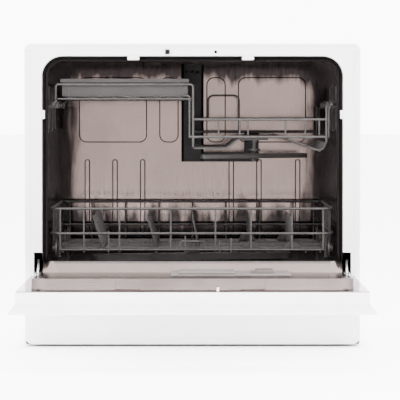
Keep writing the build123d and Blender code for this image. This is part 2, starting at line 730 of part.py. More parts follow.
def hinge_bracket():
    """Right steel clevis that carries the hinge pin, bolted to the base."""
    made = []
    for side in (-1, 1):
        x0 = HINGE_X + side * BRACKET_GAP / 2
        x1 = x0 + side * BRACKET_T
        lo = min(x0, x1)
        hi = max(x0, x1)
        nose = along_x(lo, hi, PIVOT_Y, PIVOT_Z, BOSS_R)
        arm = block(lo, hi, PIVOT_Y, LEG_Y1, PIVOT_Z - BOSS_R + 0.8, PIVOT_Z + BOSS_R)
        leg = block(lo, hi, LEG_Y0, LEG_Y1, FOOT_H + BASE_FLOOR + 0.1, PIVOT_Z)
        made += [nose, arm, leg]
    half = BRACKET_GAP / 2 + BRACKET_T
    low = FOOT_H + BASE_FLOOR + 0.1
    made.append(block(HINGE_X - half, HINGE_X + half, LEG_Y1 - 2, LEG_Y1, low, 96.0))
    made.append(block(HINGE_X - half, HINGE_X + half, LEG_Y0, LEG_Y1, low, low + 2))
    bracket = joined(made)
    return bracket - along_x(HINGE_X - half - 1, HINGE_X + half + 1, PIVOT_Y, PIVOT_Z, PIN_R)


def hinge_pin():
    """Right pin pressed into the clevis."""
    half = BRACKET_GAP / 2 + BRACKET_T
    return along_x(HINGE_X - half, HINGE_X + half, PIVOT_Y, PIVOT_Z, PIN_R)


def hinge_arm():
    """Right steel arm in the door, drawn with the door closed."""
    x0 = HINGE_X - ARM_T / 2
    x1 = HINGE_X + ARM_T / 2
    foot = block(x0, x1, -30.0, -16.0, PIVOT_Z + 14, PIVOT_Z + 150)
    link = yz_prism([(-30.0, PIVOT_Z + 14), (PIVOT_Y - 8, PIVOT_Z - 1), (PIVOT_Y - 3, PIVOT_Z - 6),
                     (PIVOT_Y + 6, PIVOT_Z + 6), (-16.0, PIVOT_Z + 26)], x0, x1)
    boss = along_x(x0, x1, PIVOT_Y, PIVOT_Z, BOSS_R - 1)
    reach = LEVER_LEN * math.sqrt(0.5)
    wide = 4.2
    lever = yz_prism([(PIVOT_Y - wide, PIVOT_Z - wide), (PIVOT_Y + wide, PIVOT_Z + wide),
                      (PIVOT_Y + reach + wide, PIVOT_Z - reach + wide),
                      (PIVOT_Y + reach - wide, PIVOT_Z - reach - wide)], x0, x1)
    flange = block(x0 - 14, x1, DOOR_FACE + DOOR_WALL + 0.05, -29.0, PIVOT_Z + 30, PIVOT_Z + 150)
    arm = joined([foot, link, boss, lever, flange])
    arm -= along_x(x0 - 1, x1 + 1, PIVOT_Y, PIVOT_Z, PIN_R + PIN_FIT)
    return arm - along_x(x0 - 1, x1 + 1, PIVOT_Y + reach - 2, PIVOT_Z - reach + 2, 1.6)


def door_spring():
    """Right balance spring between the base and the hinge lever, door open."""
    x = HINGE_X
    y = LEG_Y0 - SPRING_R - SPRING_WIRE - 1.0
    z0 = 26.0
    z1 = 96.0
    pitch = (z1 - z0) / SPRING_TURNS
    helix = Helix(pitch=pitch, height=z1 - z0, radius=SPRING_R)
    section = Plane(origin=helix @ 0, z_dir=helix % 0) * Circle(SPRING_WIRE / 2)
    coil = Pos(x, y, z0) * sweep(section, path=helix)
    foot = rod((x, y, FOOT_H + BASE_FLOOR + 0.2), (x, y, z0 - 3), SPRING_WIRE)
    foot += rod((x, y, z0 - 3), (x + SPRING_R, y, z0 + 0.4), SPRING_WIRE)
    reach = LEVER_LEN * math.sqrt(0.5)
    hook = rod((x + SPRING_R, y, z1 - 0.4), (x, y - 2, z1 + 5), SPRING_WIRE)
    hook += rod((x, y - 2, z1 + 5), (x, PIVOT_Y + reach + 5.5, PIVOT_Z + reach - 5), SPRING_WIRE)
    return coil + foot + hook


# --- door pieces, drawn closed ---

def door_case():
    """Hollow white outer door with flared side and top lips."""
    y_in = -DOOR_GAP - SHEET - 0.2
    y_a = -DOOR_GAP - LIP_START
    y_b = -DOOR_GAP - LIP_END
    low = block(-DOOR_HALF_W, DOOR_HALF_W, y_a, y_in, DOOR_BOTTOM, DOOR_TOP)
    wide = DOOR_HALF_W + DOOR_LIP
    high = block(-wide, wide, DOOR_FACE, y_b, DOOR_BOTTOM, DOOR_TOP + DOOR_LIP_RISE)
    mid_z = (DOOR_BOTTOM + DOOR_TOP) / 2
    rise = DOOR_LIP_RISE / 2
    near = Plane((0, y_a, mid_z), x_dir=(1, 0, 0), z_dir=(0, -1, 0)) * Rectangle(
        2 * DOOR_HALF_W, DOOR_TOP - DOOR_BOTTOM)
    far = Plane((0, y_b, mid_z + rise), x_dir=(1, 0, 0), z_dir=(0, -1, 0)) * Rectangle(
        2 * wide, DOOR_TOP + DOOR_LIP_RISE - DOOR_BOTTOM)
    case = low + loft([near, far], ruled=True) + high
    inner = DOOR_HALF_W - DOOR_WALL
    case -= block(-inner, inner, DOOR_FACE + DOOR_WALL, 1.0, DOOR_BOTTOM + DOOR_WALL, DOOR_TOP - DOOR_WALL)
    case -= block(-inner, inner, -DOOR_GAP - 14.5, 1.0, DOOR_BOTTOM - 1, DOOR_BOTTOM + 10)
    return case


def door_skin(case):
    """White outer panel of the door."""
    skin = case & block(-BODY_W, BODY_W, -60, 10, 0, CONSOLE_Z - SEAM)
    face = skin.faces().sort_by(Axis.Y)[0]
    return fillet(face.edges().filter_by(Axis.Z), FACE_ROUND)


def console(case):
    """Upper part of the door with the key holes and the grip lip."""
    panel = case & block(-BODY_W, BODY_W, -60, 10, CONSOLE_Z, BODY_H + 20)
    for x in KEY_X:
        panel -= block(x - KEY_W / 2 - 0.4, x + KEY_W / 2 + 0.4, DOOR_FACE - 1, DOOR_FACE + DOOR_WALL + 1,
                       KEY_Z - KEY_H / 2 - 0.4, KEY_Z + KEY_H / 2 + 0.4)
    panel -= block(SCREEN_X - SCREEN_W / 2, SCREEN_X + SCREEN_W / 2, DOOR_FACE - 1,
                   DOOR_FACE + DOOR_WALL + 1, KEY_Z - SCREEN_H / 2, KEY_Z + SCREEN_H / 2)
    half = BOLT_W / 2 + 2.0
    panel -= block(LATCH_X - half, LATCH_X + half, -20.0, 1, LATCH_Z - half, DOOR_TOP - DOOR_WALL + 1.1)
    return panel


def key(x):
    """Push key in the console."""
    cap = block(x - KEY_W / 2, x + KEY_W / 2, DOOR_FACE - 1.8, DOOR_FACE + DOOR_WALL + 0.6,
                KEY_Z - KEY_H / 2, KEY_Z + KEY_H / 2)
    cap = fillet(cap.faces().sort_by(Axis.Y)[0].edges(), 1.2)
    stem = block(x - 2, x + 2, DOOR_FACE + DOOR_WALL, board_face() - KEY_TRAVEL - 0.4, KEY_Z - 2, KEY_Z + 2)
    return cap + stem


def board_face():
    """Y of the control board's outer side."""
    return DOOR_FACE + DOOR_WALL + 7.0


def display_window():
    """Dark clear window of the display."""
    window = block(SCREEN_X - SCREEN_W / 2 + 0.2, SCREEN_X + SCREEN_W / 2 - 0.2, DOOR_FACE - 0.3,
                   DOOR_FACE + DOOR_WALL, KEY_Z - SCREEN_H / 2 + 0.2, KEY_Z + SCREEN_H / 2 - 0.2)
    return fillet(window.faces().sort_by(Axis.Y)[0].edges(), 0.3)


def control_board():
    """Circuit board behind the console with its display block and relays."""
    y0 = board_face()
    inner = DOOR_HALF_W - DOOR_WALL
    board = block(-230.0, 215.0, y0, y0 + 1.6, 440.0, 482.0)
    board += block(SCREEN_X - 38, SCREEN_X + 38, DOOR_FACE + DOOR_WALL + 0.3, y0 + 0.5, KEY_Z - 9, KEY_Z + 9)
    for x in (-100.0, 0.0, 40.0, 140.0):
        board += block(x, x + 16, y0 + 1, y0 + 12, 446.0, 460.0)
    for x in (-226.0, 205.0):
        board += block(x, x + 6, DOOR_FACE + DOOR_WALL + 0.2, y0 + 0.5, 476.0, 481.0)
    return board & block(-inner, inner, -60, 0, 0, BODY_H)


def liner_solid(shrink):
    """Raised field of the liner as a solid, drawn in by a sheet's thickness."""
    z0 = LINER_BOTTOM + shrink
    z1 = LINER_TOP - shrink
    back = -DOOR_GAP - 5.0
    outline = [(back, z0), (liner_face(z0) - shrink, z0), (liner_face(z1) - shrink, z1), (back, z1)]
    slab = yz_prism(outline, -BODY_W, BODY_W)
    column = arch(LINER_HALF_W - shrink, z1, z0, LINER_R - shrink, -40, 40)
    return slab & column


def door_liner():
    """Stainless inner door sheet with its raised field and clip pockets."""
    y_f = -DOOR_GAP
    edge = DOOR_HALF_W - 0.5
    sheet = block(-edge, edge, y_f - SHEET, y_f, DOOR_BOTTOM + 2, DOOR_TOP - 2)
    field = liner_solid(0.0)
    sheet += field & block(-BODY_W, BODY_W, y_f - SHEET, 60, 0, BODY_H)
    for x in POCKET_X:
        sheet += block(x - POCKET_W / 2 - 1, x + POCKET_W / 2 + 1, y_f, POCKET_H + 3.0,
                       LINER_TOP - POCKET_DEPTH - 1, LINER_TOP - 0.5)
    hollow = liner_solid(SHEET)
    for x in POCKET_X:
        hollow -= block(x - POCKET_W / 2 - 1, x + POCKET_W / 2 + 1, -20, POCKET_H + 3.0,
                        LINER_TOP - POCKET_DEPTH - 1, LINER_TOP)
    for side in (-1, 1):
        a = side * (LINER_HALF_W - POCKET_DEPTH - 1)
        b = side * (LINER_HALF_W + 1)
        hollow -= block(min(a, b), max(a, b), -20, 12.0, SIDE_TAB_Z - 15, SIDE_TAB_Z + 15)
    sheet -= hollow
    for x in POCKET_X:
        sheet -= block(x - POCKET_W / 2, x + POCKET_W / 2, y_f + 1.5, y_f + 1.5 + POCKET_H + 2,
                       LINER_TOP - POCKET_DEPTH, LINER_TOP + 1)
    for side in (-1, 1):
        a = side * (LINER_HALF_W - POCKET_DEPTH)
        b = side * (LINER_HALF_W + 1)
        sheet -= block(min(a, b), max(a, b), y_f + 1.5, 11.0, SIDE_TAB_Z - 14, SIDE_TAB_Z + 14)
        n0 = side * (LINER_HALF_W - 1)
        n1 = side * (DOOR_HALF_W - 2)
        sheet -= block(min(n0, n1), max(n0, n1), -20, 1, DOOR_BOTTOM, DOOR_BOTTOM + 22)
    sheet -= block(DISP_X0 + 1, DISP_X1 - 1, -20, 30, DISP_Z0 + 1, DISP_Z1 - 1)
    half = BOLT_W / 2 + 1.5
    sheet -= block(LATCH_X - half, LATCH_X + half, -20, 1, LATCH_Z - half, LATCH_Z + half - 0.6)
    sheet -= along_y(SWITCH_X, -20, 1, LATCH_Z, 2.1)
    return sheet


def switch_pin():
    """White pin on the door that works the door switch."""
    return along_y(SWITCH_X, -DOOR_GAP - DOOR_WALL - 6, 4.0, LATCH_Z, 1.9) + along_y(
        SWITCH_X, -DOOR_GAP - SHEET - 2.2, -DOOR_GAP - SHEET - 0.2, LATCH_Z, 2.4)


def dispenser_body():
    """Detergent dispenser set in the door liner."""
    z_mid = (DISP_Z0 + DISP_Z1) / 2
    face = liner_face(z_mid)
    rim = block(DISP_X0 - 3, DISP_X1 + 3, face - 6.0, face + 3.5, DISP_Z0 - 3, DISP_Z1 + 3)
    cut = yz_prism([(liner_face(z) + 0.2, z) for z in (DISP_Z0 - 20, DISP_Z1 + 20)]
                   + [(-60.0, DISP_Z1 + 20), (-60.0, DISP_Z0 - 20)], DISP_X0 - 10, DISP_X1 + 10)
    case = rim - cut
    case += block(DISP_X0 + 1.3, DISP_X1 - 1.3, DOOR_FACE + DOOR_WALL + 1, face + 1.5, DISP_Z0 + 1.3,
                  DISP_Z1 - 1.3)
    case = case - block(CUP_X0, CUP_X1, face - CUP_DEPTH, face + 10, CUP_Z0, CUP_Z1)
    return case - along_y(RINSE_X, face - 12, face + 10, z_mid, RINSE_R + 0.1)


def lid_face():
    """Y of the dispenser lid's underside."""
    return liner_face((DISP_Z0 + DISP_Z1) / 2) + 3.8


def dispenser_lid():
    """Flap over the detergent cup, hinged at its lower edge."""
    y0 = lid_face()
    lid = block(CUP_X0 - 4, CUP_X1 + 4, y0, y0 + LID_T, CUP_Z0 - 2, CUP_Z1 + 6)
    lid = fillet(lid.faces().sort_by(Axis.Y)[-1].edges(), 1.0)
    return lid + along_x(CUP_X0 - 4, CUP_X1 + 4, y0 + LID_T / 2, CUP_Z0 - 3, LID_T / 2)


def rinse_cap():
    """Round twist cap of the rinse-aid tank."""
    z = (DISP_Z0 + DISP_Z1) / 2
    y0 = lid_face()
    cap = along_y(RINSE_X, y0, y0 + 4.0, z, RINSE_R + 3)
    cap += along_y(RINSE_X, y0 - 14, y0 + 1, z, RINSE_R)
    return cap + block(RINSE_X - 14, RINSE_X + 14, y0 + 3, y0 + 7, z - 2, z + 2)


def door_seal():
    """Rubber strip along the bottom of the liner."""
    y0 = -DOOR_GAP + 0.1
    strip = block(-236.0, 236.0, y0, y0 + 4.0, 127.0, 135.0)
    return fillet(strip.faces().sort_by(Axis.Y)[-1].edges().filter_by(Axis.X), 1.8)


# --- lower rack ---

def lower_front():
    """Front wire panel of the lower rack with its bowed rims and wide bars."""
    y = LOW_Y0
    corner = 14.0
    rims = []
    for z in (LOW_RIM_Z, LOW_MID_Z):
        rims.append(rod((LOW_X0 + corner, y, z), (LOW_X1 - corner, y, z), WIRE))
    xs = [-180.0, -121.0, -36.0, 38.0, 97.0, 165.0]
    bars = [rod((x, y, LOW_FLOOR_Z + 1.0), (x, y, LOW_RIM_Z), THIN) for x in xs]
    ends = [rod((x, y, LOW_FLOOR_Z + 1.0), (x, y, LOW_RIM_Z), WIRE)
            for x in (LOW_X0 + corner + 1, LOW_X1 - corner - 1)]
    foot = rod((LOW_X0 + corner, y, LOW_FLOOR_Z + 1.0), (LOW_X1 - corner, y, LOW_FLOOR_Z + 1.0), THIN)
    stubs = [rod((x, y, LOW_FLOOR_Z - 3.5), (x, y, top), TINE_WIRE) for x, top in FRONT_STUBS]
    x0, x1 = FRONT_LOOP_X
    low = LOW_FLOOR_Z + 1.0
    high = low + FRONT_LOOP_H
    loop = bent_wire([(x0, y, low), (x0, y, high), (x1, y, high), (x1, y, low)], TINE_WIRE, 4.0)
    return joined(rims + bars + ends + [foot, loop] + stubs)


def lower_back():
    """Rear wire panel of the lower rack."""
    y = LOW_Y1
    corner = 14.0
    rims = [rod((LOW_X0 + corner, y, z), (LOW_X1 - corner, y, z), WIRE) for z in (LOW_RIM_Z, LOW_MID_Z)]
    xs = [-180.0 + i * 60.0 for i in range(7)]
    bars = [rod((x, y, LOW_FLOOR_Z + 1.0), (x, y, LOW_RIM_Z), THIN) for x in xs]
    ends = [rod((x, y, LOW_FLOOR_Z + 1.0), (x, y, LOW_RIM_Z), THIN)
            for x in (LOW_X0 + corner + 1, LOW_X1 - corner - 1)]
    foot = rod((LOW_X0 + corner, y, LOW_FLOOR_Z + 1.0), (LOW_X1 - corner, y, LOW_FLOOR_Z + 1.0), THIN)
    return joined(rims + bars + ends + [foot])


def lower_side(x, inward):
    """Side wire panel of the lower rack whose ends turn to meet front and back."""
    corner = 14.0
    far = LOW_Y1 - GAP
    near = LOW_Y0 + GAP
    made = []
    for z in (LOW_RIM_Z, LOW_MID_Z):
        tip = x + inward * (corner - GAP)
        points = [(tip, near, z), (x, near, z), (x, far, z), (tip, far, z)]
        made.append(bent_wire(points, WIRE, corner * 0.8))
    for y in floor_rows()[2:-2]:
        points = [(-inward * (floor_end() + GAP), y, LOW_FLOOR_Z), (x, y, LOW_FLOOR_Z), (x, y, LOW_RIM_Z)]
        made.append(bent_wire(points, THIN, 6.0))
    return joined(made)


def floor_end():
    """Half-length of the cross wires, which end inside the wheel holders."""
    return WHEEL_X - WHEEL_W / 2 - 3.0


def floor_rows():
    """Y places of the cross wires: one under each end and evenly from wheel to wheel."""
    step = (WHEEL_Y[1] - WHEEL_Y[0]) / (LOW_FLOOR_COUNT - 3)
    rows = [WHEEL_Y[0] + i * step for i in range(LOW_FLOOR_COUNT - 2)]
    return [LOW_Y0 + THIN + SEAM] + rows + [LOW_Y1 - THIN - SEAM]


def lower_floor():
    """Crossed floor wires of the lower rack."""
    z = LOW_FLOOR_Z
    made = []
    for y in floor_rows():
        made.append(rod((-floor_end(), y, z), (floor_end(), y, z), THIN))
    for x in floor_lines():
        made.append(rod((x, LOW_Y0 + 2, z - 2.4), (x, LOW_Y1 - 2, z - 2.4), THIN))
    return joined(made)


def floor_lines():
    """X places of the long floor wires."""
    return (-215.0, -180.0, -121.0, -60.0, -8.0, 38.0, 72.0, 124.0, 140.0, 188.0, 212.0)


def tine_row(x, lean, height):
    """Fixed row of plate tines standing on a long wire."""
    z = LOW_FLOOR_Z + THIN + GAP
    made = [rod((x, LOW_Y0 + 18, z), (x, LOW_Y1 - 18, z), THIN)]
    count = int((LOW_Y1 - LOW_Y0 - 60) / TINE_PITCH)
    for i in range(count + 1):
        y = LOW_Y0 + 30 + i * TINE_PITCH
        made.append(rod((x, y, z), (x + lean, y, z + height), TINE_WIRE))
    return joined(made)


def folding_tines(x):
    """Folding row of tines on its own long axle wire."""
    z = fold_z()
    made = [rod((x, LOW_Y0 + 12, z), (x, LOW_Y1 - 12, z), THIN)]
    first, last = clip_places()
    count = int((last - first - CLIP_LEN - 12) / TINE_PITCH)
    for i in range(count + 1):
        y = first + CLIP_LEN + 8 + i * TINE_PITCH
        made.append(rod((x, y, z), (x, y, z + TINE_H - 4), TINE_WIRE))
    return joined(made)


def fold_z():
    """Height of the folding rows' axles."""
    return LOW_FLOOR_Z + 5.2


def dome_brackets():
    """Plastic clips that hold the folding rows down on the floor wires."""
    made = []
    z = fold_z()
    for x in FOLD_X:
        for y in clip_places():
            clip = along_y(x, y, y + CLIP_LEN, DOME_TOP - DOME_R, DOME_R)
            clip &= block(x - DOME_R, x + DOME_R, y - 1, y + CLIP_LEN + 1, LOW_FLOOR_Z + THIN / 2 + GAP,
                          DOME_TOP + 1)
            made.append(clip - along_y(x, y - 1, y + CLIP_LEN + 1, z, THIN / 2 + 0.08))
    return made


def clip_places():
    """Front Y of the near and far tine clips, each over a cross wire."""
    return WHEEL_Y[0] - CLIP_LEN / 2, WHEEL_Y[1] - CLIP_LEN / 2


def wheel_clips():
    """Four plastic axle holders clipped on the rack's side wires."""
    made = []
    for side in (-1, 1):
        for y in WHEEL_Y:
            made.append(wheel_clip(side, y))
    return made


def wheel_clip(side, y):
    """One axle holder: plate inside the wheel, hooks over the wires, axle stub."""
    inner = WHEEL_X - WHEEL_W / 2 - 1.0
    x0 = inner - 4.0
    plate = block(x0, inner, y - 8, y + 8, LOW_FLOOR_Z - 12, LOW_MID_Z - WIRE / 2 - 0.2)
    stub = along_x(inner - 1, WHEEL_X + WHEEL_W / 2 + HUB_W + 1.0, y, WHEEL_Z, AXLE_R)
    hub = along_x(inner - 0.5, inner + 0.7, y, WHEEL_Z, AXLE_R + 2.5)
    end = WHEEL_X + WHEEL_W / 2 + HUB_W + SEAM
    cap = along_x(end, end + 1.4, y, WHEEL_Z, AXLE_R + 1.6)
    clip = plate + stub + hub + cap
    clip -= along_x(x0 - 1, x0 + 3, y, LOW_FLOOR_Z, THIN / 2 + GAP)
    return clip if side > 0 else mirrored(clip)


def wheel(side, y):
    """Stepped rack wheel with its bore."""
    x = WHEEL_X
    body = along_x(x - WHEEL_W / 2, x + WHEEL_W / 2, y, WHEEL_Z, WHEEL_R)
    body = fillet(body.edges(), 0.8)
    body += along_x(x, x + WHEEL_W / 2 + HUB_W, y, WHEEL_Z, HUB_R)
    body -= along_x(x - WHEEL_W, x + WHEEL_W + HUB_W, y, WHEEL_Z, AXLE_R + PIN_FIT)
    return body if side > 0 else mirrored(body)


# --- upper rack ---

def floor_profile():
    """Cross-section of the upper rack's cup shelf, left to right."""
    return [(SPLIT_X, UP_FLOOR_Z), (57.0, UP_FLOOR_Z), (80.0, UP_RIDGE_Z), (150.0, UP_RIDGE_Z),
            (205.0, UP_FLOOR_Z - 2), (216.0, UP_FLOOR_Z - 2), (UP_X1, UP_FLOOR_Z + 10)]


def upper_front():
    """Front wire panel of the cup shelf."""
    y = UP_Y0
    hook_x = SPLIT_X - 6.0
    rims = [rod((SPLIT_X, y, UP_RIM_Z), (UP_X1, y, UP_RIM_Z), WIRE)]
    rims.append(rod((hook_x - 1, y, UP_MID_Z), (UP_X1, y, UP_MID_Z), WIRE))
    left = UP_X0 - 0.5
    posts = [bent_wire([(left, y, TRAY_Z0 - 4.6), (left, y, SHELF_Z), (SPLIT_X, y, SHELF_Z),
                        (SPLIT_X, y, UP_FLOOR_Z + 2)], WIRE - 0.6, 5.0)]
    posts.append(bent_wire([(TRAY_X1 - 6, y, TRAY_Z0 + 1), (hook_x, y, TRAY_Z0 + 1), (hook_x, y, UP_MID_Z)],
                           THIN, 3.0))
    posts.append(rod((UP_X1, y, UP_FLOOR_Z + 10), (UP_X1, y, RUNNER_Z - WIRE / 2 - 1), WIRE))
    bars = [rod((x, y, UP_FLOOR_Z + 22), (x, y, UP_RIM_Z), THIN) for x in (43.0, 78.0, 92.0, 154.0, 187.0, 210.0)]
    return joined(rims + posts + bars)


def upper_back():
    """Rear wire panel of the upper rack with its raised loop."""
    y = UP_Y1
    rims = [rod((SPLIT_X, y, z), (UP_X1, y, z), WIRE) for z in (UP_RIM_Z, UP_MID_Z + 6)]
    posts = [rod((SPLIT_X, y, UP_FLOOR_Z + 2), (SPLIT_X, y, SHELF_Z + 3), WIRE)]
    posts.append(rod((UP_X1, y, UP_FLOOR_Z + 10), (UP_X1, y, RUNNER_Z - WIRE / 2 - 1), WIRE))
    loop = bent_wire([(28.0, y, UP_RIM_Z), (28.0, y, 415.0), (83.0, y, 415.0), (83.0, y, UP_RIM_Z)], THIN, 10.0)
    return joined(rims + posts + [loop])


def runner(x):
    """Long side wire that slides in the wall brackets."""
    return rod((x, UP_Y0 - 6, RUNNER_Z), (x, UP_Y1 + 10, RUNNER_Z), WIRE)


def upper_side_right():
    """Right side of the cup shelf with its runner."""
    x = UP_X1 + WIRE / 2 + THIN / 2 + GAP
    made = [runner(RUNNER_X)]
    made += [rod((x, UP_Y0 - 2, z), (x, UP_Y1 + 2, z), THIN) for z in (UP_RIM_Z, UP_MID_Z)]
    for y in (UP_Y0 - 2, UP_Y1 + 2):
        made.append(bent_wire([(x, y, UP_MID_Z), (x, y, RUNNER_Z - 9), (RUNNER_X, y, RUNNER_Z)], THIN, 3.0))
    return joined(made)


def upper_side_left():
    """Left side: runner and hangers of the tray shelf."""
    made = [runner(-RUNNER_X)]
    for y in (UP_Y0 - 2, UP_Y1 + 2):
        made.append(rod((-RUNNER_X, y, RUNNER_Z), (UP_X0 + 1, y, TRAY_Z0 - 6), THIN))
    return joined(made)


def tray_shelf():
    """Wires that carry the cutlery tray between the left runner and the split."""
    made = []
    for y in (UP_Y0 - 2, UP_Y1 + 2):
        made.append(rod((UP_X0 + 2.6 + GAP, y, TRAY_Z0 - 4), (SPLIT_X - 2.6, y, TRAY_Z0 - 4), THIN))
    for i in range(6):
        x = TRAY_X0 + 12 + i * 37.0
        made.append(rod((x, UP_Y0 - 2, TRAY_Z0 - 1.9), (x, UP_Y1 + 2, TRAY_Z0 - 1.9), THIN))
    return joined(made)


def cup_shelf():
    """Floor wires of the cup shelf that rise over the water feed."""
    made = []
    count = 9
    for i in range(count):
        y = UP_Y0 + 5 + (UP_Y1 - UP_Y0 - 10) * i / (count - 1)
        made.append(bent_wire([(x, y, z) for x, z in floor_profile()], THIN, 4.0))
    for x, z in ((20.0, UP_FLOOR_Z - 2.2), (50.0, UP_FLOOR_Z - 2.2), (84.0, UP_RIDGE_Z + 2.2),
                 (146.0, UP_RIDGE_Z + 2.2), (211.0, UP_FLOOR_Z - 4.2)):
        made.append(rod((x, UP_Y0 + 2.4, z), (x, UP_Y1 - 2.4, z), THIN))
    return joined(made)


def rack_feed():
    """Water pipe under the raised shelf floor, from the dock to the upper arm."""
    z = UP_RIDGE_Z - 6
    r = DOCK_R - 4.5
    y1 = TUB_BACK - 2.8 - DUCT_T + 5
    pipe = along_y(UP_HUB_X, UP_HUB_Y - 10, y1, z, 4.2)
    pipe += along_y(UP_HUB_X, y1 - 14, y1, z, r + 3.6)
    neck_low = UP_ARM_Z + UP_ARM_T + 1.0
    pipe += disc(UP_HUB_X, UP_HUB_Y, neck_low, z + 2, 4.6)
    pipe += disc(UP_HUB_X, UP_HUB_Y, UP_ARM_Z + UP_ARM_T + 5, UP_ARM_Z + UP_ARM_T + 8, 11.0)
    pipe += disc(UP_HUB_X, UP_HUB_Y, UP_ARM_Z - 4, neck_low + 1, 4.0)
    pipe += disc(UP_HUB_X, UP_HUB_Y, UP_ARM_Z - 5, UP_ARM_Z - 1, 7.5)
    top = UP_RIDGE_Z - THIN / 2 - 0.2
    for y in (UP_HUB_Y + 8, UP_HUB_Y + 90):
        pipe += block(UP_HUB_X - 24, UP_HUB_X + 24, y - 8, y + 8, z, top)
    return pipe


def upper_spray_arm():
    """Short spray arm that hangs under the cup shelf."""
    arm = Pos(UP_HUB_X, UP_HUB_Y, UP_ARM_Z) * spray_arm(UP_ARM_LEN, UP_ARM_W, UP_ARM_T)
    arm -= disc(UP_HUB_X, UP_HUB_Y, UP_ARM_Z - 1, UP_ARM_Z + UP_ARM_T + 1, 4.0 + PIN_FIT)
    return arm.rotate(Axis((UP_HUB_X, UP_HUB_Y, 0), (0, 0, 1)), 28.0)


def cutlery_tray():
    """Grey plastic tray with a divider and a slotted floor."""
    y0 = UP_Y0 + 6.0
    tray = block(TRAY_X0, TRAY_X1, y0, TRAY_Y1, TRAY_Z0, TRAY_Z1)
    mid = (TRAY_X0 + TRAY_X1) / 2
    for x in (TRAY_X0 + 9, mid, TRAY_X1 - 14):
        tray += block(x - 2, x + 2, y0 - 1.6, y0 + 1, TRAY_Z0, TRAY_Z1)
    for x0, x1 in ((TRAY_X0 + TRAY_WALL, mid - 1), (mid + 1, TRAY_X1 - TRAY_WALL)):
        tray -= block(x0, x1, y0 + TRAY_WALL, TRAY_Y1 - TRAY_WALL, TRAY_Z0 + TRAY_WALL, TRAY_Z1 + 1)
    for i in range(12):
        y = y0 + 14 + i * 22.0
        for x0, x1 in ((TRAY_X0 + 8, mid - 7), (mid + 7, TRAY_X1 - 8)):
            tray -= block(x0, x1, y, y + 14.0, TRAY_Z0 - 1, TRAY_Z0 + TRAY_WALL + 1)
    tray += block(TRAY_X0 - 3, TRAY_X1 + 2, y0 - 3, y0 + 1, TRAY_Z1 - 6, TRAY_Z1)
    return tray


def write_cabinet():
    """Everything that stays with the cabinet."""
    place("base_tray", base_tray())
    place("feet", *feet())
    place("kick_plate", kick_plate())
    panel = side_panel()
    place("right_side_panel", panel)
    place("left_side_panel", mirrored(panel))
    place("top_cover", top_cover())
    place("rear_panel", rear_panel())
    place("rear_screws", *rear_screws())
    place("front_frame", front_frame())
    place("gasket_tabs", *gasket_tabs())
    place("tub_gasket", tub_gasket())
    place("tub_shell", tub_wrap(), tub_back())
    place("tub_floor", tub_floor())
    place("sump", sump())
    place("filter_plate", filter_plate())
    place("filter_cup", filter_cup())
    place("lower_arm_bearing", lower_bearing())
    place("lower_arm_nut", arm_nut())
    place("lower_spray_arm", lower_spray_arm())
    place("circulation_pump", circulation_pump())
    place("drain_pump", drain_pump())
    place("water_heater", water_heater())
    place("inlet_valve", inlet_valve())
    place("drain_outlet", drain_outlet())
    place("cord_gland", cord_gland())
    place("feed_duct", feed_duct())
    place("rack_brackets", *rack_brackets())
    place("latch_unit", latch_housing(), door_switch())
    place("latch_bolt", latch_bolt())
    bracket = hinge_bracket()
    place("hinge_brackets", bracket, mirrored(bracket))
    place("hinge_pins", hinge_pin(), mirrored(hinge_pin()))
    spring = door_spring()
    place("door_springs", spring, mirrored(spring))


def write_door():
    """Everything on the door, turned down to its open place."""
    case = door_case()
    place("door_skin", opened(door_skin(case)))
    place("door_console", opened(console(case)))
    place("door_liner", opened(door_liner()))
    arm = opened(hinge_arm())
    place("hinge_arms", arm, mirrored(arm))
    place("door_seal", opened(door_seal()))
    place("switch_pin", opened(switch_pin()))
    place("control_board", opened(control_board()))
    place("display_window", opened(display_window()))
    for number, x in enumerate(KEY_X, start=1):
        place(f"key_{number}", opened(key(x)))
    place("dispenser_body", opened(dispenser_body()))
    place("dispenser_lid", opened(dispenser_lid()))
    place("rinse_aid_cap", opened(rinse_cap()))


def write_lower_rack():
    """The lower rack, its tines and wheels."""
    tines = [tine_row(-150.0, -16.0, TINE_H), tine_row(-60.0, -16.0, TINE_H), tine_row(10.0, -10.0, TINE_H)]
    place("lower_rack_basket", lower_front(), lower_back(), lower_side(LOW_X0, 1), lower_side(LOW_X1, -1),
          lower_floor(), *tines)
    place("folding_tines_inner", folding_tines(FOLD_X[0]))
    place("folding_tines_outer", folding_tines(FOLD_X[1]))
    place("tine_clips", *dome_brackets())
    place("wheel_clips", *wheel_clips())
    for side, word in ((-1, "left"), (1, "right")):
        place(f"wheel_front_{word}", wheel(side, WHEEL_Y[0]))
        place(f"wheel_rear_{word}", wheel(side, WHEEL_Y[1]))


def write_upper_rack():
    """The upper rack, its tray and spray arm."""
    place("upper_rack_basket", upper_front(), upper_back(), upper_side_right(), upper_side_left(),
          cup_shelf(), tray_shelf())
    place("upper_feed_pipe", rack_feed())
    place("upper_spray_arm", upper_spray_arm())
    place("cutlery_tray", cutlery_tray())


os.makedirs("parts", exist_ok=True)
write_cabinet()
write_door()
write_lower_rack()
write_upper_rack()
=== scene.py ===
"""Looks of the countertop dishwasher: materials, fine pieces, studio light and camera.

All lengths are metres in the row frame: X to the right, -Y towards the user, Z up.
"""

import json
import math

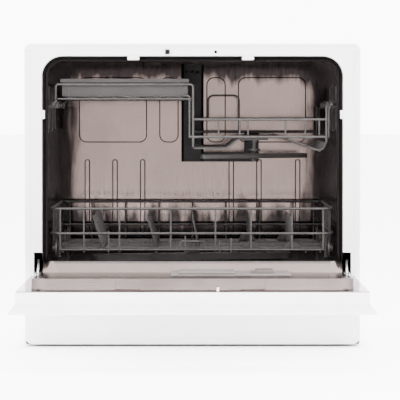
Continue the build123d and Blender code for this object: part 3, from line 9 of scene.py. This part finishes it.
import bmesh
import bpy
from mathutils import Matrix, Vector


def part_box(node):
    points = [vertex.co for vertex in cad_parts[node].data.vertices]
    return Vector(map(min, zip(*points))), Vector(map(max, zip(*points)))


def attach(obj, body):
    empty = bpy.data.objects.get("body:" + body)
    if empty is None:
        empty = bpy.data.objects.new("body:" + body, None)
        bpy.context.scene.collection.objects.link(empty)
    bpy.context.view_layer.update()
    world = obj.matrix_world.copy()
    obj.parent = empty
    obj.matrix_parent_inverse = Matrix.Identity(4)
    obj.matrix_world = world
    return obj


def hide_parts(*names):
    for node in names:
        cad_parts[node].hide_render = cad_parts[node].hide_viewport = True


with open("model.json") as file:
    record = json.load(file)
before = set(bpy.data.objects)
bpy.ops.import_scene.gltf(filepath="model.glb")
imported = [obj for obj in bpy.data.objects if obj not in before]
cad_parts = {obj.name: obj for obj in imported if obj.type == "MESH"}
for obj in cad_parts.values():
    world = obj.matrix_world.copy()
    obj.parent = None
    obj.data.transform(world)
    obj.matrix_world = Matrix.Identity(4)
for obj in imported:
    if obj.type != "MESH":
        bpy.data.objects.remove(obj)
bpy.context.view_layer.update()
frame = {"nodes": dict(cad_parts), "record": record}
MM = 0.001


def placed(name, data):
    """A new object holding the data, linked to the scene."""
    thing = bpy.data.objects.new(name, data)
    bpy.context.scene.collection.objects.link(thing)
    return thing


def aim(thing, target):
    """Turns a camera or lamp so that its own -Z looks at a point."""
    thing.rotation_euler = (target - thing.location).to_track_quat("-Z", "Y").to_euler()


# --- camera, measured on the photograph ---

PHOTO_SIZE = 400
PX_PER_MM = 0.61
FRONT_PLANE_Y = -0.050
CAMERA_REACH = 4.20
CENTRE_PX_X = 192.5
TABLE_PX_Y = 347.0
HORIZON_PX_Y = 112.0
SENSOR_MM = 36.0
CLIP_END = 60.0


def front_point(px, py):
    """The point of the cabinet's front plane that a pixel of the photograph shows."""
    x = (px - CENTRE_PX_X) / PX_PER_MM * MM
    z = (TABLE_PX_Y - py) / PX_PER_MM * MM
    return Vector((x, FRONT_PLANE_Y, z))


def add_camera():
    """Camera at the photograph's height and reach, aimed at the picture's centre."""
    data = bpy.data.cameras.new("camera")
    camera = placed("camera", data)
    eye = front_point(CENTRE_PX_X, HORIZON_PX_Y)
    eye.y = FRONT_PLANE_Y - CAMERA_REACH
    target = front_point(PHOTO_SIZE / 2, PHOTO_SIZE / 2)
    camera.location = eye
    aim(camera, target)
    data.sensor_width = SENSOR_MM
    data.lens = PX_PER_MM / MM * (target - eye).length / PHOTO_SIZE * SENSOR_MM
    data.clip_end = CLIP_END
    bpy.context.scene.camera = camera


# --- light ---

ROOM_WARM = (0.19, 0.158, 0.150, 1)
ROOM_DIM = (0.085, 0.081, 0.081, 1)
STUDIO_WHITE = (1.0, 1.0, 1.0, 1)
STUDIO_GLOW = 10.5
# Place along world Y, 0 behind the camera and 1 behind the object, and the colour from there on.
ROOM_STOPS = ((0.05, ROOM_WARM), (0.2, ROOM_DIM), (0.42, ROOM_DIM), (0.62, STUDIO_WHITE))
LAMP_WHITE = (1.0, 1.0, 1.0)
LAMP_WARM = (1.0, 0.93, 0.91)
# Name, place, point aimed at, width and height in metres, power in watts, colour.
LAMPS = (
    ("light_top", (0.0, -0.5, 3.0), (0.0, -0.1, 0.2), (3.4, 2.4), 200.0, LAMP_WHITE),
    ("light_left", (-3.2, -2.8, 1.4), (0.0, 0.0, 0.25), (2.4, 2.6), 150.0, LAMP_WHITE),
    ("light_right", (3.2, -2.8, 1.4), (0.0, 0.0, 0.25), (2.4, 2.6), 90.0, LAMP_WHITE),
    ("light_front", (0.0, -5.0, 3.4), (0.0, 0.0, 0.3), (4.2, 2.0), 560.0, LAMP_WARM),
)


def add_area(name, place, target, size, power, colour):
    """Soft box aimed at a point."""
    data = bpy.data.lights.new(name, "AREA")
    data.shape = "RECTANGLE"
    data.size, data.size_y = size
    data.energy = power
    data.color = colour
    lamp = placed(name, data)
    lamp.location = place
    aim(lamp, Vector(target))


def add_world():
    """White studio behind and above the object, and a warm, dimmer room behind the camera."""
    world = bpy.data.worlds.new("studio")
    bpy.context.scene.world = world
    world.use_nodes = True
    nodes, links = world.node_tree.nodes, world.node_tree.links
    coords = nodes.new("ShaderNodeTexCoord")
    split = nodes.new("ShaderNodeSeparateXYZ")
    links.new(coords.outputs["Generated"], split.inputs[0])
    depth = nodes.new("ShaderNodeMapRange")
    depth.inputs["From Min"].default_value = -1.0
    depth.inputs["From Max"].default_value = 1.0
    links.new(split.outputs["Y"], depth.inputs["Value"])
    ramp = nodes.new("ShaderNodeValToRGB")
    stops = ramp.color_ramp.elements
    stops[0].position, stops[0].color = 0.0, ROOM_WARM
    stops[1].position, stops[1].color = 1.0, STUDIO_WHITE
    for place, colour in ROOM_STOPS:
        stop = stops.new(place)
        stop.color = colour
    links.new(depth.outputs["Result"], ramp.inputs["Fac"])
    background = nodes["Background"]
    background.inputs["Strength"].default_value = STUDIO_GLOW
    links.new(ramp.outputs["Color"], background.inputs["Color"])


def add_lights():
    """Large soft boxes above, on both sides and high behind the camera."""
    for lamp in LAMPS:
        add_area(*lamp)


# --- material helpers ---

# Share of a normal that points along Y, from a sheet running front to back to one facing the front; over
# this span the painted shade on side-running steel fades out.
FACING = (0.55, 0.98)


class Finish:
    """A material with its node tree, on object coordinates in metres."""

    def __init__(self, name):
        self.material = bpy.data.materials.new(name)
        self.material.use_nodes = True
        self.nodes = self.material.node_tree.nodes
        self.links = self.material.node_tree.links
        self.shader = self.nodes["Principled BSDF"]
        self.coords = self.nodes.new("ShaderNodeTexCoord")

    def link(self, source, target):
        self.links.new(source, target)

    def stretched(self, scale):
        """Object coordinates scaled on each axis."""
        mapping = self.nodes.new("ShaderNodeMapping")
        mapping.inputs["Scale"].default_value = scale
        self.link(self.coords.outputs["Object"], mapping.inputs["Vector"])
        return mapping.outputs["Vector"]

    def noise(self, scale, detail=3.0, stretch=(1, 1, 1), distortion=0.0):
        """Noise factor, scale in cells per metre."""
        node = self.nodes.new("ShaderNodeTexNoise")
        node.inputs["Scale"].default_value = scale
        node.inputs["Detail"].default_value = detail
        node.inputs["Distortion"].default_value = distortion
        self.link(self.stretched(stretch), node.inputs["Vector"])
        return node.outputs["Fac"]

    def span(self, factor, low, high, start=0.3, end=0.7):
        """A factor mapped to a range of values."""
        node = self.nodes.new("ShaderNodeMapRange")
        node.inputs["From Min"].default_value = start
        node.inputs["From Max"].default_value = end
        node.inputs["To Min"].default_value = low
        node.inputs["To Max"].default_value = high
        self.link(factor, node.inputs["Value"])
        return node.outputs["Result"]

    def blend(self, factor, dark, light):
        """Colour between two colours by a factor."""
        node = self.nodes.new("ShaderNodeMix")
        node.data_type = "RGBA"
        node.inputs["A"].default_value = (*dark, 1)
        node.inputs["B"].default_value = (*light, 1)
        self.link(factor, node.inputs["Factor"])
        return node.outputs["Result"]

    def facing_front(self, low=0.0):
        """1 where the surface faces the front or back of the cabinet, low where it runs along Y."""
        split = self.nodes.new("ShaderNodeSeparateXYZ")
        self.link(self.coords.outputs["Normal"], split.inputs[0])
        size = self.nodes.new("ShaderNodeMath")
        size.operation = "ABSOLUTE"
        self.link(split.outputs["Y"], size.inputs[0])
        return self.span(size.outputs[0], low, 1.0, *FACING)

    def place(self, axis):
        """Object coordinate on an axis, in metres."""
        split = self.nodes.new("ShaderNodeSeparateXYZ")
        self.link(self.coords.outputs["Object"], split.inputs[0])
        return split.outputs[axis]

    def band(self, axis, none, full):
        """0 before a place on an axis in metres, rising to 1 at another."""
        return self.span(self.place(axis), 0.0, 1.0, none, full)

    def joined(self, operation, first, second):
        """One factor made from two by a Math node."""
        node = self.nodes.new("ShaderNodeMath")
        node.operation = operation
        self.link(first, node.inputs[0])
        self.link(second, node.inputs[1])
        return node.outputs[0]

    def product(self, first, second):
        """Two factors multiplied."""
        return self.joined("MULTIPLY", first, second)

    def mix(self, factor, first, second):
        """Colour between two colour outputs by a factor."""
        node = self.nodes.new("ShaderNodeMix")
        node.data_type = "RGBA"
        self.link(first, node.inputs["A"])
        self.link(second, node.inputs["B"])
        self.link(factor, node.inputs["Factor"])
        return node.outputs["Result"]

    def bump(self, height, depth, after=None):
        """Bump of a depth in metres, over an earlier bump."""
        node = self.nodes.new("ShaderNodeBump")
        node.inputs["Strength"].default_value = 1.0
        node.inputs["Distance"].default_value = depth
        self.link(height, node.inputs["Height"])
        if after is not None:
            self.link(after, node.inputs["Normal"])
        return node.outputs["Normal"]

    def set(self, **values):
        """Values on the shader's own sockets."""
        for name, value in values.items():
            self.shader.inputs[name.replace("_", " ")].default_value = value

    def colour(self, output):
        self.link(output, self.shader.inputs["Base Color"])

    def roughness(self, output):
        self.link(output, self.shader.inputs["Roughness"])

    def normal(self, output):
        self.link(output, self.shader.inputs["Normal"])


def enamel(name, dark, light, rough):
    """Powder coat: orange peel, faint clouding and a thin gloss."""
    f = Finish(name)
    f.colour(f.blend(f.span(f.noise(9.0, 4.0), 0.0, 1.0), dark, light))
    f.roughness(f.span(f.noise(160.0, 5.0), rough - 0.05, rough + 0.08))
    f.normal(f.bump(f.noise(700.0, 2.0), 0.00006, f.bump(f.noise(38.0, 2.0), 0.00012)))
    f.set(Coat_Weight=0.25, Coat_Roughness=0.18)
    return f.material


def moulding(name, dark, light, rough, shine=0.5, grain=1400.0, depth=0.00005, wear=0.06):
    """Moulded plastic: spark-eroded grain, flow clouding and rubbed patches."""
    f = Finish(name)
    f.colour(f.blend(f.span(f.noise(14.0, 5.0, distortion=0.6), 0.0, 1.0), dark, light))
    f.roughness(f.span(f.noise(60.0, 6.0), rough - wear, rough + wear))
    f.normal(f.bump(f.noise(grain, 2.0), depth, f.bump(f.noise(22.0, 1.0), 0.0002)))
    f.set(Specular_IOR_Level=shine)
    return f.material


ALONG_X = (1.0, 60.0, 60.0)
ALONG_Z = (60.0, 60.0, 1.0)
WAVINESS = 0.0004
LINER_TINT = (0.55, 0.52, 0.51, 1)


def steel_sheet(name, dark, light, rough, painted_side_shade):
    """Rolled stainless sheet: rolling lines, faint clouds, and painted shade that darkens it where it runs
    front to back.
    """
    f = Finish(name)
    clouds = f.span(f.noise(5.0, 4.0, distortion=0.8), 0.0, 1.0)
    # painted shade: the colour is darker on faces that run front to back
    across = f.blend(clouds, [c * painted_side_shade for c in dark], [c * painted_side_shade for c in light])
    f.colour(f.mix(f.facing_front(), across, f.blend(clouds, dark, light)))
    lines = f.noise(30.0, 6.0, stretch=ALONG_X)
    f.roughness(f.span(lines, rough - 0.04, rough + 0.07))
    f.normal(f.bump(lines, 0.00003, f.bump(f.noise(9.0, 2.0), WAVINESS)))
    f.set(Metallic=1.0, Specular_Tint=LINER_TINT)
    return f.material


SIDE_MIRROR = 0.3
EDGE_TINT = (0.10, 0.095, 0.095, 1)
PAINTED_CORNER_SHADE = ((0.004, 0.004, 0.005), (0.07, 0.068, 0.068))
PAINTED_REFLECTION_STREAKS = (6.0, 1.0, 0.6)
RAGGED = (3.0, 1.0, 0.5)
RAGGED_BY = 0.25
# Where the painted shade ends and where the pale steel starts, in metres on each axis.
PAINTED_SHADE_FOOT_Z = (0.165, 0.245)
PAINTED_SHADE_HEAD_Z = (0.462, 0.425)
PAINTED_SHADE_LEFT_X = (-0.235, -0.190)
PAINTED_SHADE_RIGHT_X = (0.235, 0.190)
SILL_Y = (-0.030, -0.034)


def tub_sheet(name, dark, light, sill):
    """Polished tub: pale in the middle of the back wall and on the sill; painted shade, deep grey with
    streaked painted reflections, towards the foot, the top and the sides and on the side walls.
    """
    f = Finish(name)
    clouds = f.span(f.noise(5.0, 4.0, distortion=0.8), 0.0, 1.0)
    wall = f.blend(clouds, dark, light)
    # painted shade: streaked deep grey standing in for shade and dark reflections
    corner = f.blend(f.noise(40.0, 3.0, stretch=PAINTED_REFLECTION_STREAKS, distortion=0.4), *PAINTED_CORNER_SHADE)
    ragged = f.span(f.noise(22.0, 2.0, stretch=RAGGED), -RAGGED_BY, RAGGED_BY)
    between = f.product(f.band("Z", *PAINTED_SHADE_FOOT_Z), f.band("Z", *PAINTED_SHADE_HEAD_Z))
    middle = f.product(between, f.product(f.band("X", *PAINTED_SHADE_LEFT_X), f.band("X", *PAINTED_SHADE_RIGHT_X)))
    # painted shade everywhere except the middle of the front-facing wall, with ragged edges
    lit = f.product(f.facing_front(), f.span(f.joined("ADD", middle, ragged), 0.0, 1.0))
    f.colour(f.mix(f.band("Y", *SILL_Y), f.mix(lit, corner, wall), f.blend(clouds, *sill)))
    lines = f.noise(30.0, 6.0, stretch=ALONG_Z)
    f.roughness(f.span(lines, 0.05, 0.14))
    f.normal(f.bump(lines, 0.00003, f.bump(f.noise(9.0, 2.0), WAVINESS)))
    f.link(f.facing_front(SIDE_MIRROR), f.shader.inputs["Metallic"])
    f.set(Specular_IOR_Level=0.1, Specular_Tint=EDGE_TINT)
    return f.material


def plated_steel(name, dark, light, rough):
    """Zinc-plated or galvanised steel with spangles and handling marks."""
    f = Finish(name)
    cells = f.nodes.new("ShaderNodeTexVoronoi")
    cells.inputs["Scale"].default_value = 220.0
    f.link(f.stretched((1, 1, 1)), cells.inputs["Vector"])
    f.colour(f.blend(cells.outputs["Distance"], dark, light))
    f.roughness(f.span(f.noise(90.0, 5.0), rough - 0.08, rough + 0.12))
    f.normal(f.bump(f.noise(500.0, 3.0), 0.00004))
    f.set(Metallic=1.0)
    return f.material


def coated_wire(name, dark, light):
    """Nylon-dipped wire: soft gloss, slight sag ripples and paler rubbed spots."""
    f = Finish(name)
    f.colour(f.blend(f.span(f.noise(70.0, 5.0), 0.0, 1.0), dark, light))
    f.roughness(f.span(f.noise(240.0, 3.0), 0.24, 0.42))
    f.normal(f.bump(f.noise(420.0, 2.0), 0.00012))
    f.set(Coat_Weight=0.08, Coat_Roughness=0.2, Specular_IOR_Level=0.25)
    return f.material


def rubber(name, dark, light):
    """Extruded rubber with a dusty bloom and die lines."""
    f = Finish(name)
    f.colour(f.blend(f.span(f.noise(45.0, 6.0), 0.0, 1.0), dark, light))
    f.roughness(f.span(f.noise(120.0, 4.0), 0.42, 0.62))
    f.normal(f.bump(f.noise(900.0, 3.0), 0.00006, f.bump(f.noise(60.0, 2.0), 0.0001)))
    f.set(Specular_IOR_Level=0.08)
    return f.material


def board(name):
    """Green laminate with copper tracks under the lacquer."""
    f = Finish(name)
    tracks = f.nodes.new("ShaderNodeTexBrick")
    tracks.inputs["Scale"].default_value = 260.0
    tracks.inputs["Color1"].default_value = (0.012, 0.10, 0.035, 1)
    tracks.inputs["Color2"].default_value = (0.016, 0.13, 0.05, 1)
    tracks.inputs["Mortar"].default_value = (0.05, 0.25, 0.10, 1)
    f.link(f.stretched((1, 1, 1)), tracks.inputs["Vector"])
    f.colour(tracks.outputs["Color"])
    f.roughness(f.span(f.noise(200.0), 0.25, 0.4))
    f.normal(f.bump(f.noise(600.0, 2.0), 0.00004))
    return f.material


def smoked(name):
    """Dark smoked window with a faint smear."""
    f = Finish(name)
    f.colour(f.blend(f.span(f.noise(30.0, 4.0), 0.0, 1.0), (0.006, 0.006, 0.008), (0.014, 0.014, 0.018)))
    f.roughness(f.span(f.noise(50.0, 5.0), 0.05, 0.16))
    f.normal(f.bump(f.noise(40.0, 1.0), 0.00003))
    f.set(Coat_Weight=0.5, Coat_Roughness=0.05)
    return f.material


MATERIALS = {
    "white_enamel": enamel("white_enamel", (0.83, 0.82, 0.83), (0.88, 0.875, 0.88), 0.36),
    "white_plastic": moulding("white_plastic", (0.84, 0.83, 0.84), (0.89, 0.885, 0.89), 0.38),
    "tub_steel": steel_sheet("tub_steel", (0.10, 0.084, 0.080), (0.14, 0.119, 0.114), 0.12, 0.6),
    "tub_wall_painted_shade": tub_sheet("tub_wall_painted_shade", (0.25, 0.225, 0.218), (0.31, 0.28, 0.272),
                          ((0.12, 0.098, 0.09), (0.17, 0.142, 0.132))),
    "hinge_steel": plated_steel("hinge_steel", (0.45, 0.45, 0.46), (0.62, 0.62, 0.64), 0.32),
    "spring_steel": plated_steel("spring_steel", (0.28, 0.28, 0.29), (0.42, 0.42, 0.43), 0.34),
    "rack_wire": coated_wire("rack_wire", (0.026, 0.025, 0.0245), (0.042, 0.041, 0.04)),
    "grey_plastic": moulding("grey_plastic", (0.020, 0.0192, 0.019), (0.030, 0.029, 0.0285), 0.42, 0.25),
    "pale_plastic": moulding("pale_plastic", (0.11, 0.098, 0.095), (0.15, 0.135, 0.13), 0.4, 0.3),
    "dark_plastic": moulding("dark_plastic", (0.002, 0.0026, 0.0032), (0.0035, 0.0043, 0.005), 0.36, 0.16),
    "black_plastic": moulding("black_plastic", (0.0015, 0.0015, 0.0016), (0.003, 0.003, 0.0033),
                              0.45, 0.12),
    "seal_rubber": rubber("seal_rubber", (0.0018, 0.0013, 0.0015), (0.004, 0.0032, 0.0034)),
    "foot_rubber": rubber("foot_rubber", (0.012, 0.012, 0.012), (0.03, 0.03, 0.03)),
    "galvanised": plated_steel("galvanised", (0.42, 0.43, 0.44), (0.58, 0.59, 0.60), 0.38),
    "screen": smoked("screen"),
    "circuit_board": board("circuit_board"),
    "motor_grey": enamel("motor_grey", (0.045, 0.05, 0.055), (0.07, 0.075, 0.085), 0.4),
}

# Nodes that wear another finish than the one named after their slot in the record; the tub shell and floor
# wear the steel with painted shade.
DRESS_APART = {"tub_shell": "tub_wall_painted_shade", "tub_floor": "tub_wall_painted_shade", "dispenser_body": "pale_plastic",
               "dispenser_lid": "pale_plastic", "rinse_aid_cap": "pale_plastic"}


def dress_frame():
    """Gives each CAD node the finish of its slot in the record, or the one set apart for it."""
    for entry in frame["record"]["subparts"]:
        node = frame["nodes"][entry["node"]]
        for slot in node.material_slots:
            slot.material = MATERIALS[DRESS_APART.get(entry["node"], entry["material_slot"])]


# --- tub seal ---

SEAL_WIDTH = 9.4 * MM
SEAL_TOP_WIDTH = 7.7 * MM
SEAL_CORNER = 33.4 * MM
SEAL_INNER_CORNER = 24.6 * MM
SEAL_DEPTH = 11.0 * MM
ARC_STEPS = 14
LEG_STEPS = 24
# Shares of the seal's width, from outside inwards, and of its depth, from the front backwards.
SEAL_PROFILE = (
    (0.0, 1.0), (0.0, 0.10), (0.06, 0.02), (0.20, 0.0), (0.32, 0.05), (0.38, 0.30), (0.44, 0.34),
    (0.50, 0.30), (0.55, 0.06), (0.66, 0.01), (0.82, 0.0), (0.94, 0.04), (1.0, 0.14), (1.0, 1.0),
)


def seal_path(half, top, corner, low):
    """Points of an arch from the right foot over the top to the left foot, as (x, z)."""
    right = [(half, low + (top - corner - low) * i / LEG_STEPS) for i in range(LEG_STEPS)]
    for i in range(ARC_STEPS + 1):
        turn = math.pi / 2 * i / ARC_STEPS
        right.append((half - corner + corner * math.cos(turn), top - corner + corner * math.sin(turn)))
    return right + [(-x, z) for x, z in reversed(right)]


def seal_rings(shape):
    """The profile's points at each station of the arch, leaning back with the CAD seal's front."""
    lowest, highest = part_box("tub_gasket")
    half, low, top = highest[0], lowest[2], highest[2]
    outer = seal_path(half, top, SEAL_CORNER, low)
    inner = seal_path(half - SEAL_WIDTH, top - SEAL_TOP_WIDTH, SEAL_INNER_CORNER, low)
    lean = (highest[1] - lowest[1] - SEAL_DEPTH) / (top - low)
    rings = []
    for (x0, z0), (x1, z1) in zip(outer, inner):
        ring = []
        for across, depth in SEAL_PROFILE:
            x = x0 + (x1 - x0) * across
            z = z0 + (z1 - z0) * across
            y = lowest[1] + (z - low) * lean + SEAL_DEPTH * depth
            ring.append(shape.verts.new((x, y, z)))
        rings.append(ring)
    return rings


def skin_rings(shape, rings):
    """Joins neighbouring rings with quads and closes both ends."""
    for first, second in zip(rings, rings[1:]):
        for i in range(len(first)):
            j = (i + 1) % len(first)
            shape.faces.new((first[i], first[j], second[j], second[i]))
    shape.faces.new(rings[0])
    shape.faces.new(list(reversed(rings[-1])))
    bmesh.ops.recalc_face_normals(shape, faces=shape.faces)


def add_tub_seal():
    """Seal with a groove between two lips, swept around the opening inside its CAD solid."""
    shape = bmesh.new()
    skin_rings(shape, seal_rings(shape))
    mesh = bpy.data.meshes.new("tub_seal")
    shape.to_mesh(mesh)
    shape.free()
    for face in mesh.polygons:
        face.use_smooth = len(face.vertices) == 4
    mesh.materials.append(MATERIALS["seal_rubber"])
    seal = placed("tub_seal", mesh)
    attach(seal, "cabinet")
    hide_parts("tub_gasket")


# --- floor ---

FLOOR_HALF = 40.0
SHEET_EDGE_Y = (-3.2, -2.4)
# Strength of the floor's painted glow.
PAINTED_FLOOR_GLOW = 2.6
# Where the floor has none of its painted glow, under the cabinet, and where it has all of it, in metres.
SHADE_RIGHT = (0.255, 0.300)
SHADE_LEFT = (-0.255, -0.300)
SHADE_FRONT = (-0.030, -0.110)
SHADE_BACK = (0.400, 0.500)


def floor_finish():
    """Pale sheet with a faint painted glow, except under the cabinet, and the room's floor before its
    edge.
    """
    f = Finish("floor_white")
    pale = f.blend(f.span(f.noise(1.5, 3.0), 0.0, 1.0), (0.93, 0.93, 0.93), (0.95, 0.95, 0.95))
    room = f.blend(f.span(f.noise(2.0, 4.0), 0.0, 1.0), (0.25, 0.20, 0.185), (0.31, 0.25, 0.23))
    f.colour(f.mix(f.band("Y", *SHEET_EDGE_Y), room, pale))
    beside = f.joined("MAXIMUM", f.band("X", *SHADE_RIGHT), f.band("X", *SHADE_LEFT))
    around = f.joined("MAXIMUM", f.band("Y", *SHADE_FRONT), f.band("Y", *SHADE_BACK))
    lit = f.joined("MAXIMUM", beside, around)
    # painted light: the sheet glows as though it were a lamp, lighting the cabinet from below
    painted_glow = f.product(lit, f.span(f.place("Y"), 0.0, PAINTED_FLOOR_GLOW, *SHEET_EDGE_Y))
    f.link(painted_glow, f.shader.inputs["Emission Strength"])
    f.set(Emission_Color=STUDIO_WHITE)
    f.roughness(f.span(f.noise(8.0, 3.0), 0.75, 0.9))
    return f.material


def add_floor():
    """Very large floor, so that its end is far away in every view."""
    corners = [(x * FLOOR_HALF, y * FLOOR_HALF, 0) for x, y in ((-1, -1), (1, -1), (1, 1), (-1, 1))]
    mesh = bpy.data.meshes.new("floor")
    mesh.from_pydata(corners, [], [(0, 1, 2, 3)])
    mesh.materials.append(floor_finish())
    placed("floor", mesh)


dress_frame()
add_tub_seal()
add_floor()
add_world()
add_lights()
add_camera()
